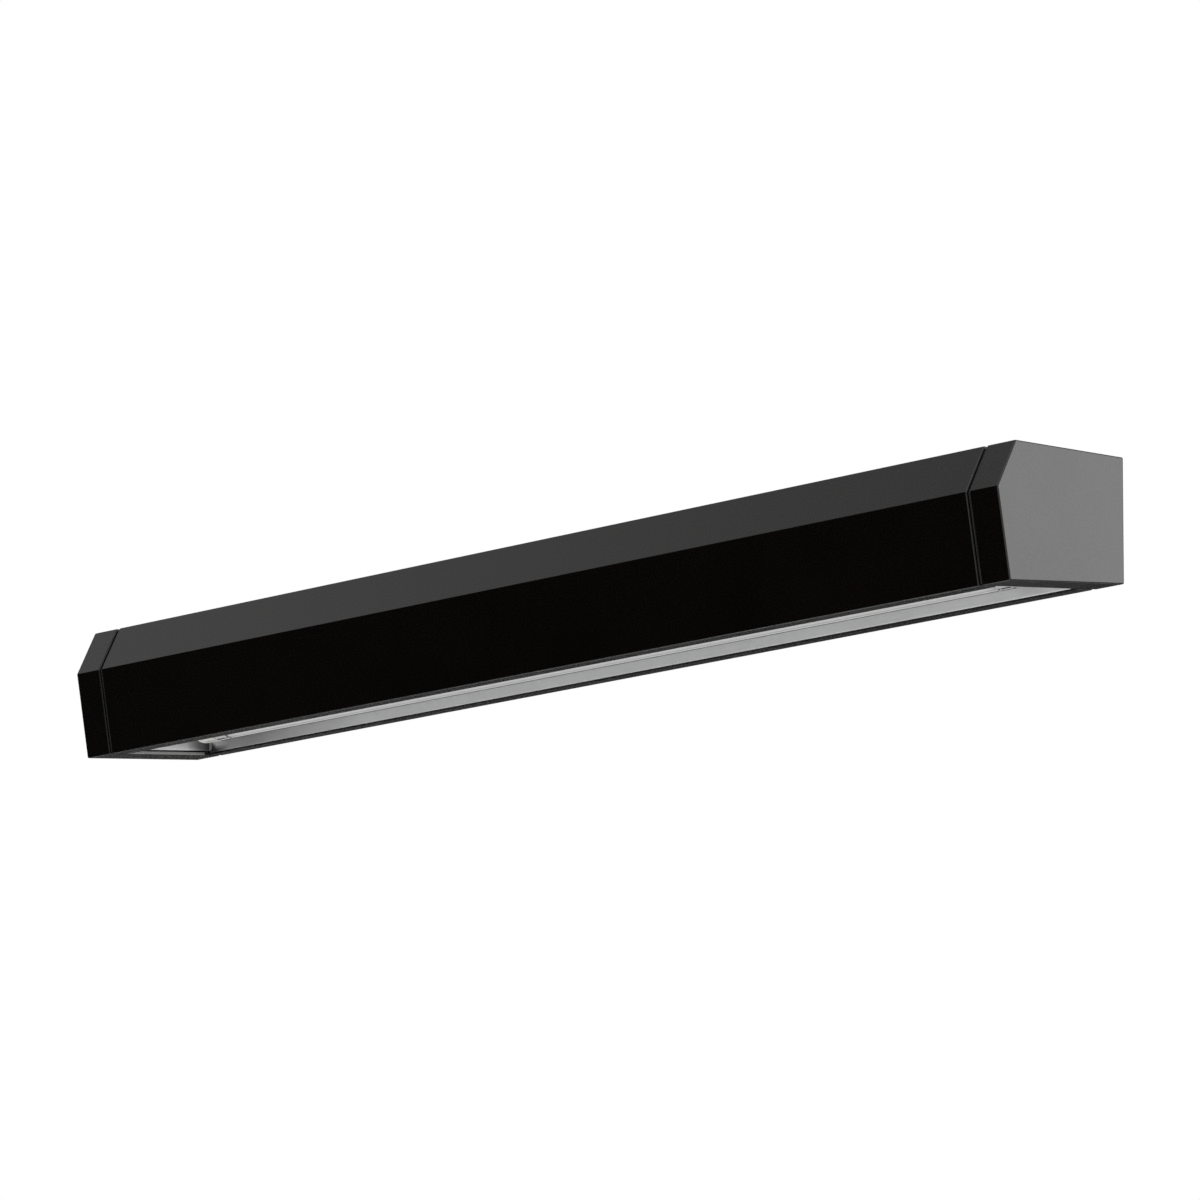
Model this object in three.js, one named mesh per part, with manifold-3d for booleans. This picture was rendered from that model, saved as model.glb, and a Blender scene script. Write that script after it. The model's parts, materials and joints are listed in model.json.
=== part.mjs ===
// A wall-mounted vanity light bar: a five-sided black bar, open underneath, with a T5 lamp in a
// hammered reflector below and its control gear on a tray above.
// Millimetres. X runs along the bar, +Y points into the wall, +Z is up.
// The origin is on the wall, in the middle of the wall plate's back face.
import * as THREE from 'three';
import { mergeVertices } from 'three/addons/utils/BufferGeometryUtils.js';
import Module from 'manifold-3d';

const wasm = await Module();
wasm.setup();

// Clearances
const seat = 0.15;            // between two flat pieces that rest on each other
const screwFit = 0.15;        // round a screw's shank or head
const fit = 0.3;              // between pieces that slide or turn past each other

// Lamp, T5 with a G5 base
const lampLength = 516.9;     // between the outer faces of its two caps
const lampRadius = 7.9;
const glassThickness = 0.8;
const lampCapLength = 8.5;
const lampCapThickness = 0.5;
const lampCapStep = 0.1;      // by which a cap stands out from the glass
const pinLength = 7.1;
const pinRadius = 1.15;
const pinSpread = 4.75;

// Lampholders
const holderThickness = 11;
const holderHalfWidth = 8.5;
const holderDrop = 7.7;       // from the lamp's axis to the bottom of its holder
const holderBackWall = 2.4;
const rotorRadius = 6;
const rotorWeb = 0.7;
const pinSlot = 2.9;
const contactThickness = 0.4;

// Section of the bar
const topDepth = 57.9;
const chamferFace = 21.7;
const chamferLean = THREE.MathUtils.degToRad(26.7);
const frontLean = THREE.MathUtils.degToRad(9.9);
const undersideFall = THREE.MathUtils.degToRad(5);
const edgeRound = 0.6;
const wall = 2;
const frontRim = 9.1;
const backRim = 8.4;

// Heights, upwards from the back edge of the underside
const lampLift = 9.75;        // to the lamp's axis
const reflectorRise = 16.2;   // from the axis to the top of the reflector
const trayLift = 1.1;
const trayThickness = 1.2;
const ballastHeight = 18;
const headroom = 2.5;

// Ends
const lampEndSpace = 23.45;   // from the lamp's cap to the end of the housing
const jointGap = 1.8;
const jointBevel = 0.5;
const capLength = 16.3;
const capWall = 2.5;
const capEndWall = 3;
const lugReach = 14;
const lugThickness = 4;
const lugHeight = 9;
const lugInset = 9.45;        // of each lug's middle from the top or the underside

// Reflector
const reflectorSheet = 0.6;
const reflectorBend = 2.5;
const reflectorLip = 0.75;    // above the underside
const lampSideGap = 2.35;     // from the lamp's cap to the reflector's back
const endReflectorInset = 3.1;
const endReflectorLift = 0.8;   // of the end plates' edges above the trough's

// Wall plate, in a shallow recess along the housing's back
const plateThickness = 1.5;
const recessDepth = 2;
const recessInset = 4.95;     // from the housing's top, and as much from its underside
const platePlay = 1.5;        // between the plate's edge and the recess
const plateInset = 66.3;      // from the housing's end
const hookInset = 35;         // from the plate's end
const hookWidth = 14;
const hookRise = 5;
const hookDrop = 5;           // from the plate's top edge
const lockScrewRise = 5;      // from the plate's bottom edge
const lockScrewInset = 14;
const wallSlotInset = 60;
const wallSlotRise = 9.5;     // above and below the middle
const wallSlotWidth = 3.9;
const wallSlotLength = 8;

// Gear on the tray, along X
const ballastEnd = 0;
const ballastLength = 150;
const ballastWidth = 30;
const ballastBack = -16;
const ballastEar = 12;
const ballastSheet = 0.8;
const boardThickness = 1.2;
const blockStart = 70;
const polePitch = 10;
const poleCount = 3;
const blockBack = -16;
const blockDepth = 16;
const blockHeight = 14;
const cableEntryX = 48;
const cableEntryLift = 0.5;   // from the gear tray to the grommet's flange
const cableEntryRadius = 3.5;
const grommetWall = 1.6;
const grommetFlange = 1.8;
const grommetLip = 1.4;
const earthX = 26;
const earthY = -12.5;
const tabInset = 149.3;       // of each tray tab from the housing's end
const tabWidth = 18;
const tabHeight = 10.5;
const tabScrewLevel = 6;
const wireRadius = 0.9;
const laneStart = 1.6;        // of the long lamp leads in front of the ballast
const laneStep = 2.2;

// Worked out from the values above
const chamberHeight = lampLift + reflectorRise;
const gearHeight = trayLift + trayThickness + seat + ballastHeight + headroom;
const backHeight = chamberHeight + gearHeight + wall;
const bottomZ = -backHeight / 2;
const topZ = backHeight / 2;
const lampCapRadius = lampRadius + lampCapStep;
const lampNeckRadius = lampCapRadius - lampCapThickness - seat;
const halfHousing = lampLength / 2 + lampEndSpace;
const halfBar = halfHousing + jointGap + capLength;
const innerBack = -recessDepth - wall;
const reflectorBack = -backRim - fit;
const reflectorInnerBack = reflectorBack - reflectorSheet;
const lampY = reflectorInnerBack - lampSideGap - lampCapRadius;
const lampZ = bottomZ + lampLift;
const reflectorTop = bottomZ + chamberHeight;
const trayBottom = reflectorTop + trayLift;
const trayTop = trayBottom + trayThickness;
const recessHalfHeight = topZ - recessInset;
const plateHalfHeight = recessHalfHeight - platePlay;
const hookLevel = plateHalfHeight - hookDrop;
const lockScrewLevel = lockScrewRise - plateHalfHeight;
const grommetNeck = cableEntryRadius + grommetWall;
const cableEntryLevel = trayTop + cableEntryLift + grommetNeck + grommetFlange;
const halfReflector = halfHousing - endReflectorInset;
const holderInner = lampLength / 2 + fit;
const holderOuter = holderInner + holderThickness;

const frontSlope = Math.tan(frontLean);
const undersideSlope = Math.tan(undersideFall);
const undersideAt = (y) => bottomZ + y * undersideSlope;

// Corners of the section, as (y, z), from the back of the underside round over the top
const noseY = -topDepth - chamferFace * Math.sin(chamferLean);
const noseZ = topZ - chamferFace * Math.cos(chamferLean);
const toeY = (noseY + (noseZ - bottomZ) * frontSlope) / (1 + undersideSlope * frontSlope);
const section = [
  [0, bottomZ],
  [0, topZ],
  [-topDepth, topZ],
  [noseY, noseZ],
  [toeY, undersideAt(toeY)],
];
const openingFront = toeY + frontRim;
const openingBack = -backRim;
const reflectorFront = openingFront + fit;
const reflectorInnerFront = reflectorFront + reflectorSheet;

// Finishes
const satinBlack = { color: 0x16171a, roughness: 0.45, metalness: 0.25 };
const blackRubber = { color: 0x0b0b0b, roughness: 0.85, metalness: 0 };
const hammeredAluminium = { color: 0xc4c6c8, roughness: 0.4, metalness: 0.9 };
const zincSteel = { color: 0xa9adb0, roughness: 0.4, metalness: 0.85 };
const screwSteel = { color: 0x8f9296, roughness: 0.35, metalness: 0.9 };
const blackScrew = { color: 0x1d1e20, roughness: 0.45, metalness: 0.6 };
const whiteSteel = { color: 0xe4e4e0, roughness: 0.45, metalness: 0.1 };
const whitePlastic = { color: 0xe9e8e2, roughness: 0.5, metalness: 0 };
const greyPlastic = { color: 0xb9bcbd, roughness: 0.5, metalness: 0 };
const circuitGreen = { color: 0x1f5a38, roughness: 0.5, metalness: 0 };
const whiteGlass = { color: 0xf3f4f1, roughness: 0.12, metalness: 0 };
const lampAluminium = { color: 0xc9cbcc, roughness: 0.3, metalness: 0.9 };
const brass = { color: 0xb08d45, roughness: 0.35, metalness: 0.9 };

// Solids
function solidOf(geometry) {
  const bare = geometry.clone();
  bare.deleteAttribute('normal');
  bare.deleteAttribute('uv');
  const merged = mergeVertices(bare, 1e-5);
  return new wasm.Manifold(new wasm.Mesh({
    numProp: 3,
    vertProperties: Float32Array.from(merged.attributes.position.array),
    triVerts: Uint32Array.from(merged.index.array),
  }));
}

function geometryOf(solid) {
  const mesh = solid.getMesh();
  const geometry = new THREE.BufferGeometry();
  geometry.setAttribute('position', new THREE.BufferAttribute(mesh.vertProperties, 3));
  geometry.setIndex(new THREE.BufferAttribute(mesh.triVerts, 1));
  geometry.computeVertexNormals();
  return geometry;
}

const join = (first, ...others) => others.reduce((whole, other) => whole.add(other), first);
const cut = (first, ...others) => others.reduce((whole, other) => whole.subtract(other), first);

function block(x0, x1, y0, y1, z0, z1) {
  const geometry = new THREE.BoxGeometry(x1 - x0, y1 - y0, z1 - z0);
  geometry.translate((x0 + x1) / 2, (y0 + y1) / 2, (z0 + z1) / 2);
  return solidOf(geometry);
}

// A cylinder along X, Y or Z between two places on that axis, round the other two coordinates
function rod(axis, radius, start, end, first, second, sides = 16) {
  const geometry = new THREE.CylinderGeometry(radius, radius, end - start, sides);
  const middle = (start + end) / 2;
  if (axis === 'x') {
    geometry.rotateZ(-Math.PI / 2);
    geometry.translate(middle, first, second);
  } else if (axis === 'y') {
    geometry.translate(first, middle, second);
  } else {
    geometry.rotateX(Math.PI / 2);
    geometry.translate(first, second, middle);
  }
  return solidOf(geometry);
}

const shapeOf = (points) => new THREE.Shape(points.map(([a, b]) => new THREE.Vector2(a, b)));

// A bar along X from an outline of (y, z) points, with its end edges bevelled where asked
function barAlongX(points, x0, x1, bevel = 0) {
  const geometry = new THREE.ExtrudeGeometry(shapeOf(points), {
    depth: x1 - x0 - 2 * bevel,
    steps: 1,
    bevelEnabled: bevel > 0,
    bevelThickness: bevel,
    bevelSize: bevel,
    bevelOffset: -bevel,
    bevelSegments: 2,
  });
  const turned = new THREE.Matrix4().makeBasis(
    new THREE.Vector3(0, 1, 0),
    new THREE.Vector3(0, 0, 1),
    new THREE.Vector3(1, 0, 0),
  );
  geometry.applyMatrix4(turned);
  geometry.translate(x0 + bevel, 0, 0);
  return solidOf(geometry);
}

// Moves each side of a counter-clockwise outline inwards by its own distance
function inset(corners, distances) {
  const sides = corners.map((corner, index) => {
    const next = corners[(index + 1) % corners.length];
    const along = new THREE.Vector2(next[0] - corner[0], next[1] - corner[1]).normalize();
    const distance = distances[index];
    return { x: corner[0] - along.y * distance, y: corner[1] + along.x * distance, along };
  });
  return sides.map((side, index) => {
    const before = sides[(index + sides.length - 1) % sides.length];
    const across = before.along.x * side.along.y - before.along.y * side.along.x;
    const reach = ((side.x - before.x) * side.along.y - (side.y - before.y) * side.along.x) / across;
    return [before.x + before.along.x * reach, before.y + before.along.y * reach];
  });
}

const insetAll = (corners, distance) => inset(corners, corners.map(() => distance));

// Rounds the corners of an outline, by one radius or by one for each corner
function roundCorners(corners, radii, steps = 3) {
  const points = [];
  corners.forEach(([x, y], index) => {
    const radius = Array.isArray(radii) ? radii[index] : radii;
    if (radius <= 0) {
      points.push([x, y]);
      return;
    }
    const here = new THREE.Vector2(x, y);
    const before = new THREE.Vector2(...corners[(index + corners.length - 1) % corners.length]);
    const after = new THREE.Vector2(...corners[(index + 1) % corners.length]);
    const back = before.sub(here).normalize();
    const on = after.sub(here).normalize();
    const half = Math.acos(THREE.MathUtils.clamp(back.dot(on), -1, 1)) / 2;
    const start = here.clone().addScaledVector(back, radius / Math.tan(half));
    const end = here.clone().addScaledVector(on, radius / Math.tan(half));
    const middle = back.clone().add(on).normalize();
    const centre = here.clone().addScaledVector(middle, radius / Math.sin(half));
    const first = start.sub(centre);
    const sweep = end.sub(centre);
    const turn = Math.atan2(first.cross(sweep), first.dot(sweep));
    for (let step = 0; step <= steps; step += 1) {
      const angle = (turn * step) / steps;
      const spoke = first.clone().rotateAround(new THREE.Vector2(), angle);
      points.push([centre.x + spoke.x, centre.y + spoke.y]);
    }
  });
  return points;
}

// A turned solid from (radius, height) points. Its axis is Z until it is turned about X and moved.
function turned(profile, sides = 12, rotationX = 0, place = [0, 0, 0]) {
  const points = profile.map(([radius, height]) => new THREE.Vector2(radius, height));
  const geometry = new THREE.LatheGeometry(points, sides);
  geometry.rotateX(Math.PI / 2 + rotationX);
  geometry.translate(...place);
  return solidOf(geometry);
}

const model = new THREE.Group();

function addPiece(name, solid, finish, parent = model) {
  const mesh = new THREE.Mesh(geometryOf(solid), new THREE.MeshStandardMaterial(finish));
  mesh.name = name;
  parent.add(mesh);
  return mesh;
}

const ends = [
  { side: 'left', sign: -1 },
  { side: 'right', sign: 1 },
];

// Gives a block whose X range is measured outwards from the middle towards one end
function endBlock(sign, x0, x1, y0, y1, z0, z1) {
  return sign > 0 ? block(x0, x1, y0, y1, z0, z1) : block(-x1, -x0, y0, y1, z0, z1);
}

function endRod(sign, radius, x0, x1, y, z, sides) {
  return sign > 0 ? rod('x', radius, x0, x1, y, z, sides) : rod('x', radius, -x1, -x0, y, z, sides);
}

// Screws. The shank points along local -Z and the head's underside is at z = 0.
const headUp = 0;
const headDown = Math.PI;
const headToFront = Math.PI / 2;
const headToWall = -Math.PI / 2;
const machineScrew = { head: 2.75, headHeight: 1.9, shank: 1.5 };
const countersunkScrew = { head: 2.75, headHeight: 1.5, shank: 1.5 };

function panHead(length, { head, headHeight, shank } = machineScrew) {
  const body = turned([
    [0, -length],
    [shank - 0.3, -length],
    [shank, -length + 0.3],
    [shank, 0],
    [head, 0],
    [head, headHeight * 0.55],
    [head * 0.72, headHeight],
    [0, headHeight],
  ]);
  return cut(body, ...crossRecess(headHeight));
}

function flatHead(length, { head, headHeight, shank } = countersunkScrew) {
  const body = turned([
    [0, -length],
    [shank - 0.3, -length],
    [shank, -length + 0.3],
    [shank, -headHeight],
    [head, 0],
    [0, 0],
  ]);
  return cut(body, ...crossRecess(0));
}

function crossRecess(top) {
  const reach = 1.5;
  const half = 0.35;
  const depth = 0.8;
  return [
    block(-reach, reach, -half, half, top - depth, top + 1),
    block(-half, half, -reach, reach, top - depth, top + 1),
  ];
}

function addScrew(name, solid, finish, x, y, z, rotationX) {
  const mesh = addPiece(name, solid, finish);
  mesh.rotation.x = rotationX;
  mesh.position.set(x, y, z);
}


// Places that more than one piece shares
const halfPlate = halfHousing - plateInset;
const hookX = halfPlate - hookInset;
const lockScrewX = halfPlate - lockScrewInset;
const wallSlotX = halfPlate - wallSlotInset;
const tabX = halfHousing - tabInset;
const lugEnd = halfHousing + jointGap - lugReach;
const lugScrewX = (lugEnd + halfHousing) / 2;
const lugBack = innerBack - fit;
const lugFront = lugBack - lugThickness;
const lugLevels = [{ level: 'upper', z: topZ - lugInset }, { level: 'lower', z: bottomZ + lugInset }];
const screwHole = machineScrew.shank + screwFit;

const cavity = inset(section, [recessDepth + wall, wall, wall, wall, wall]);
const innerNoseY = cavity[3][0];
const frontLedgeReach = 4;
const backLedgeReach = 3;
const ledgeThickness = 1.4;

// The one-piece extruded housing: open underneath, with a ledge each side for the tray
function makeHousing() {
  const outline = roundCorners(section, edgeRound);
  const past = halfHousing + 1;
  const shell = cut(
    barAlongX(outline, -halfHousing, halfHousing, jointBevel),
    barAlongX(cavity, -past, past),
    block(-past, past, -recessDepth, 1, -recessHalfHeight, recessHalfHeight),
    block(-past, past, openingFront, openingBack, bottomZ - topDepth, bottomZ + wall * 2),
  );
  const ledgeTop = trayBottom - seat;
  const ledgeBottom = ledgeTop - ledgeThickness;
  const ledgeEnd = halfHousing - jointBevel;
  const rooted = wall * 0.4;
  const frontLedge = block(
    -ledgeEnd, ledgeEnd, innerNoseY - rooted, innerNoseY + frontLedgeReach, ledgeBottom, ledgeTop,
  );
  const backLedge = block(
    -ledgeEnd, ledgeEnd, innerBack - backLedgeReach, innerBack + rooted, ledgeBottom, ledgeTop,
  );
  let housing = join(shell, frontLedge, backLedge);
  const through = (radius, x, z, sides) => rod('y', radius, innerBack - 1, -recessDepth + 1, x, z, sides);
  ends.forEach(({ sign }) => {
    const hookMiddle = sign * hookX;
    housing = cut(
      housing,
      block(
        hookMiddle - hookWidth / 2 - fit, hookMiddle + hookWidth / 2 + fit,
        innerBack - 1, -recessDepth + 1,
        hookLevel - plateThickness - hookRise - 2 * fit, hookLevel + seat,
      ),
      through(screwHole, sign * lockScrewX, lockScrewLevel),
      through(screwHole, sign * tabX, trayTop + tabScrewLevel),
    );
    lugLevels.forEach(({ z }) => {
      const hole = countersunkHole(sign * lugScrewX, z);
      housing = cut(housing, hole);
    });
  });
  return cut(housing, through(grommetNeck + seat, cableEntryX, cableEntryLevel, 28));
}

// The hole for a countersunk screw that enters the recess's face from the wall side
function countersunkHole(x, z) {
  const shank = countersunkScrew.shank + screwFit;
  const head = countersunkScrew.head + screwFit;
  return turned([
    [0, -wall * 2],
    [shank, -wall * 2],
    [shank, -countersunkScrew.headHeight],
    [head, 0],
    [head, 1],
    [0, 1],
  ], 12, headToWall, [x, -recessDepth, z]);
}

// A hollow end cap with two lugs that reach into the housing behind its back wall
function makeEndCap(sign) {
  const inner = halfHousing + jointGap;
  const range = sign > 0 ? [inner, halfBar] : [-halfBar, -inner];
  const hollow = sign > 0 ? [inner - 1, halfBar - capEndWall] : [-halfBar + capEndWall, -inner + 1];
  let cap = cut(
    barAlongX(roundCorners(section, edgeRound), ...range, jointBevel),
    barAlongX(insetAll(section, capWall), ...hollow),
  );
  lugLevels.forEach(({ z }) => {
    const low = z - lugHeight / 2;
    const high = z + lugHeight / 2;
    const root = endBlock(sign, inner + 1, halfBar - capEndWall / 2, lugFront, -capWall / 2, low, high);
    const lug = endBlock(sign, lugEnd, inner + 2, lugFront, lugBack, low, high);
    const hole = rod('y', screwHole, lugFront - 1, lugBack + 1, sign * lugScrewX, z, 16);
    cap = cut(join(cap, root, lug), hole);
  });
  return cap;
}

// A rubber gasket in the joint, set back from the outer faces and left out across the opening
function makeGasket(sign) {
  const setBack = 1;
  const breadth = 2.4;
  const start = halfHousing + seat / 2;
  const end = halfHousing + jointGap - seat / 2;
  const range = sign > 0 ? [start, end] : [-end, -start];
  const outer = barAlongX(insetAll(section, setBack), ...range);
  const inner = barAlongX(insetAll(section, setBack + breadth), -halfBar, halfBar);
  const mouth = block(-halfBar, halfBar, openingFront, openingBack, bottomZ - topDepth, lampZ);
  return cut(outer, inner, mouth);
}

// The steel plate on the wall, with two upturned hooks and tapped holes for the lock screws
function makeWallPlate() {
  let plate = block(-halfPlate, halfPlate, -plateThickness, 0, -plateHalfHeight, plateHalfHeight);
  ends.forEach(({ sign }) => {
    const x = sign * hookX;
    const low = x - hookWidth / 2;
    const high = x + hookWidth / 2;
    const lipBack = innerBack - fit;
    const lipFront = lipBack - plateThickness;
    plate = cut(
      join(
        plate,
        block(low, high, lipFront, -plateThickness / 2, hookLevel - plateThickness, hookLevel),
        block(low, high, lipFront, lipBack, hookLevel - plateThickness, hookLevel + hookRise),
      ),
      rod('y', screwHole, -plateThickness - 1, 1, sign * lockScrewX, lockScrewLevel, 16),
      wallSlot(sign * wallSlotX, wallSlotRise),
      wallSlot(sign * wallSlotX, -wallSlotRise),
    );
  });
  const window = grommetNeck + grommetFlange + fit;
  return cut(plate, rod('y', window, -plateThickness - 1, 1, cableEntryX, cableEntryLevel, 28));
}

function wallSlot(x, z) {
  const radius = wallSlotWidth / 2;
  const half = wallSlotLength / 2 - radius;
  const from = -plateThickness - 1;
  return join(
    block(x - half, x + half, from, 1, z - radius, z + radius),
    rod('y', radius, from, 1, x - half, z, 16),
    rod('y', radius, from, 1, x + half, z, 16),
  );
}

// The cable entry's rubber grommet, gripping the housing's back wall
function makeGrommet() {
  const flange = grommetNeck + grommetFlange;
  const outer = grommetLip + seat;
  const through = wall + seat;
  const profile = [
    [cableEntryRadius, 0],
    [flange - 0.5, 0],
    [flange, 0.5],
    [flange, outer - seat],
    [grommetNeck, outer - seat],
    [grommetNeck, outer + through],
    [flange, outer + through],
    [flange, outer + through + grommetLip - 0.5],
    [flange - 0.5, outer + through + grommetLip],
    [cableEntryRadius, outer + through + grommetLip],
    [cableEntryRadius, 0],
  ];
  return turned(profile, 28, headToFront, [cableEntryX, -recessDepth + outer, cableEntryLevel]);
}

// The steel tray that carries the gear, with two upturned tabs on the housing's back wall
const trayFront = innerNoseY + frontLedgeReach / 2;
const trayBack = innerBack - 2 * fit;

function makeTray() {
  let tray = block(-halfReflector, halfReflector, trayFront, trayBack, trayBottom, trayTop);
  ends.forEach(({ sign }) => {
    const x = sign * tabX;
    const tab = block(
      x - tabWidth / 2, x + tabWidth / 2,
      trayBack - trayThickness, trayBack, trayBottom, trayTop + tabHeight,
    );
    const hole = rod('y', screwHole, trayBack - 3, trayBack + 1, x, trayTop + tabScrewLevel, 16);
    tray = cut(
      join(tray, tab), hole,
      holderSlot(sign, trayBottom - 1, trayTop + 1),
      rod('z', screwHole, trayBottom - 1, trayTop + 1, sign * endScrewX, endScrewY, 16),
    );
  });
  const holes = [...ballastScrews, [blockScrewX, blockScrewY], [earthX, earthY]];
  return cut(tray, ...holes.map(([x, y]) => rod('z', screwHole, trayBottom - 1, trayTop + 1, x, y, 16)));
}

// The neck of each lampholder passes up through the reflector and the tray
const neckHalfWidth = 6.5;
const neckInset = 2;

function holderSlot(sign, z0, z1) {
  return endBlock(
    sign, holderInner + neckInset - fit, holderOuter - neckInset + fit,
    lampY - neckHalfWidth - fit, lampY + neckHalfWidth + fit, z0, z1,
  );
}

const endScrewX = (holderOuter + halfReflector) / 2 - reflectorSheet / 2;
const endScrewY = (lampY - lampCapRadius + reflectorInnerFront) / 2;

// The hammered reflector: one sheet bent into an upside-down trough
function makeReflector() {
  const lip = (y) => undersideAt(y) + reflectorLip;
  const bend = reflectorBend;
  const tight = reflectorBend - reflectorSheet;
  const ceiling = reflectorTop - reflectorSheet;
  const outline = roundCorners([
    [reflectorBack, lip(reflectorBack)],
    [reflectorBack, reflectorTop],
    [reflectorFront, reflectorTop],
    [reflectorFront, lip(reflectorFront)],
    [reflectorInnerFront, lip(reflectorInnerFront)],
    [reflectorInnerFront, ceiling],
    [reflectorInnerBack, ceiling],
    [reflectorInnerBack, lip(reflectorInnerBack)],
  ], [0, bend, bend, 0, 0, tight, tight, 0], 4);
  let reflector = barAlongX(outline, -halfReflector, halfReflector);
  ends.forEach(({ sign }) => {
    reflector = cut(
      reflector,
      holderSlot(sign, ceiling - 1, reflectorTop + 1),
      rod('z', screwHole, ceiling - 1, reflectorTop + 1, sign * endScrewX, endScrewY, 16),
    );
  });
  return reflector;
}

// Each end of the trough: a plate, with a flange under the trough's top and one along its back
function makeEndReflector(sign) {
  const ceiling = reflectorTop - reflectorSheet;
  const front = reflectorInnerFront + fit;
  const back = reflectorInnerBack - fit;
  const flangeReach = halfReflector - holderOuter - 2 * fit;
  const outer = halfReflector - seat;
  const inner = outer - reflectorSheet;
  const lift = reflectorLip + endReflectorLift;
  const corner = reflectorBend;
  const outline = roundCorners([
    [back, undersideAt(back) + lift],
    [back, ceiling - seat],
    [front, ceiling - seat],
    [front, undersideAt(front) + lift],
  ], [0, corner, corner, 0]);
  const range = sign > 0 ? [inner, outer] : [-outer, -inner];
  const flangeHalf = 7;
  const backFlangeReach = 1.8;
  const topFlange = endBlock(
    sign, outer - flangeReach, outer,
    endScrewY - flangeHalf, endScrewY + flangeHalf,
    ceiling - seat - reflectorSheet, ceiling - seat,
  );
  const backFlange = endBlock(
    sign, outer - backFlangeReach, outer, back - reflectorSheet, back,
    undersideAt(back) + lift + 0.4, ceiling - 2 * corner,
  );
  const hole = rod('z', screwHole, ceiling - 3, ceiling + 1, sign * endScrewX, endScrewY, 16);
  return cut(join(barAlongX(outline, ...range), topFlange, backFlange), hole);
}

// A rotor lampholder: the pins enter from below through its slot, then turn with the rotor
const boreRadius = rotorRadius + fit;
const boreDepth = holderThickness - holderBackWall;
const contactPocket = 1.3;
const contactHeight = 8;
const snapRise = 2.2;

function makeHolder(sign) {
  const roof = reflectorTop - reflectorSheet - seat;
  const half = holderHalfWidth;
  const sideSteps = 12;
  const outline = [[lampY + half, roof], [lampY - half, roof]];
  for (let step = 0; step <= sideSteps; step += 1) {
    const angle = Math.PI + (Math.PI * step) / sideSteps;
    outline.push([lampY + half * Math.cos(angle), lampZ + holderDrop * Math.sin(angle)]);
  }
  const range = sign > 0 ? [holderInner, holderOuter] : [-holderOuter, -holderInner];
  const neck = endBlock(
    sign, holderInner + neckInset, holderOuter - neckInset,
    lampY - neckHalfWidth, lampY + neckHalfWidth, roof - 1, trayTop + seat + snapRise,
  );
  const snap = endBlock(
    sign, holderInner + neckInset - 0.8, holderOuter - neckInset + 0.8,
    lampY - neckHalfWidth, lampY + neckHalfWidth, trayTop + seat, trayTop + seat + snapRise,
  );
  const boreEnd = holderInner + boreDepth;
  const pockets = [-1, 1].map((side) => {
    const near = lampY + side * (rotorRadius - 1);
    const far = lampY + side * (boreRadius + contactPocket);
    return endBlock(
      sign, holderInner + 1, boreEnd, Math.min(near, far), Math.max(near, far),
      lampZ - contactHeight / 2 - fit, lampZ + contactHeight / 2 + fit,
    );
  });
  const leadHoles = [-1, 1].map((side) => {
    const top = trayTop + seat + snapRise;
    return rod('z', wireRadius + fit, top - 3, top + 1, sign * leadHoleX, lampY + side * leadSpread, 12);
  });
  return cut(
    join(barAlongX(outline, ...range), neck, snap),
    endRod(sign, boreRadius, holderInner - 1, boreEnd, lampY, lampZ, 32),
    endBlock(
      sign, holderInner - 1, boreEnd,
      lampY - pinSlot / 2, lampY + pinSlot / 2, lampZ - half - 1, lampZ,
    ),
    ...pockets,
    ...leadHoles,
  );
}

const leadHoleX = (holderInner + holderOuter) / 2;
const leadSpread = 3.2;

function makeContact(sign, side) {
  const near = boreRadius + (contactPocket - contactThickness) / 2;
  const y0 = side > 0 ? lampY + near : lampY - near - contactThickness;
  return endBlock(
    sign, holderInner + 1 + fit, holderInner + boreDepth - fit,
    y0, y0 + contactThickness, lampZ - contactHeight / 2, lampZ + contactHeight / 2,
  );
}

// The lamp and the two rotors turn together, so they are built round the lamp's axis
const lampTurn = new THREE.Group();
lampTurn.position.set(0, lampY, lampZ);
model.add(lampTurn);

// The glass is drawn in at both ends, and the caps sit on the necks
function makeLampTube() {
  const half = lampLength / 2 - lampCapThickness - seat;
  const straight = lampLength / 2 - lampCapLength - seat;
  const bore = straight - glassThickness;
  return cut(
    join(
      rod('x', lampRadius, -straight, straight, 0, 0, 32),
      rod('x', lampNeckRadius, -half, half, 0, 0, 32),
    ),
    rod('x', lampRadius - glassThickness, -bore, bore, 0, 0, 32),
    rod('x', lampNeckRadius - glassThickness, -half - 1, half + 1, 0, 0, 32),
  );
}

function makeLampCap(sign) {
  const outer = lampLength / 2;
  const inner = outer - lampCapLength;
  const pins = [-1, 1].map((side) => (
    endRod(sign, pinRadius + seat, inner, outer + 1, (side * pinSpread) / 2, 0, 12)
  ));
  return cut(
    endRod(sign, lampCapRadius, inner, outer, 0, 0, 32),
    endRod(sign, lampNeckRadius + seat, inner - 1, outer - lampCapThickness, 0, 0, 32),
    ...pins,
  );
}

function makePin(sign, side) {
  const outer = lampLength / 2;
  const start = outer - 3;
  return endRod(sign, pinRadius, start, outer + pinLength, (side * pinSpread) / 2, 0, 12);
}

function makeRotor(sign) {
  const face = holderInner + fit;
  const back = holderInner + boreDepth - fit;
  return cut(
    endRod(sign, rotorRadius, face, back, 0, 0, 32),
    endBlock(sign, face - 1, back - rotorWeb, -rotorRadius - 1, rotorRadius + 1, -pinSlot / 2, pinSlot / 2),
  );
}

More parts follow.
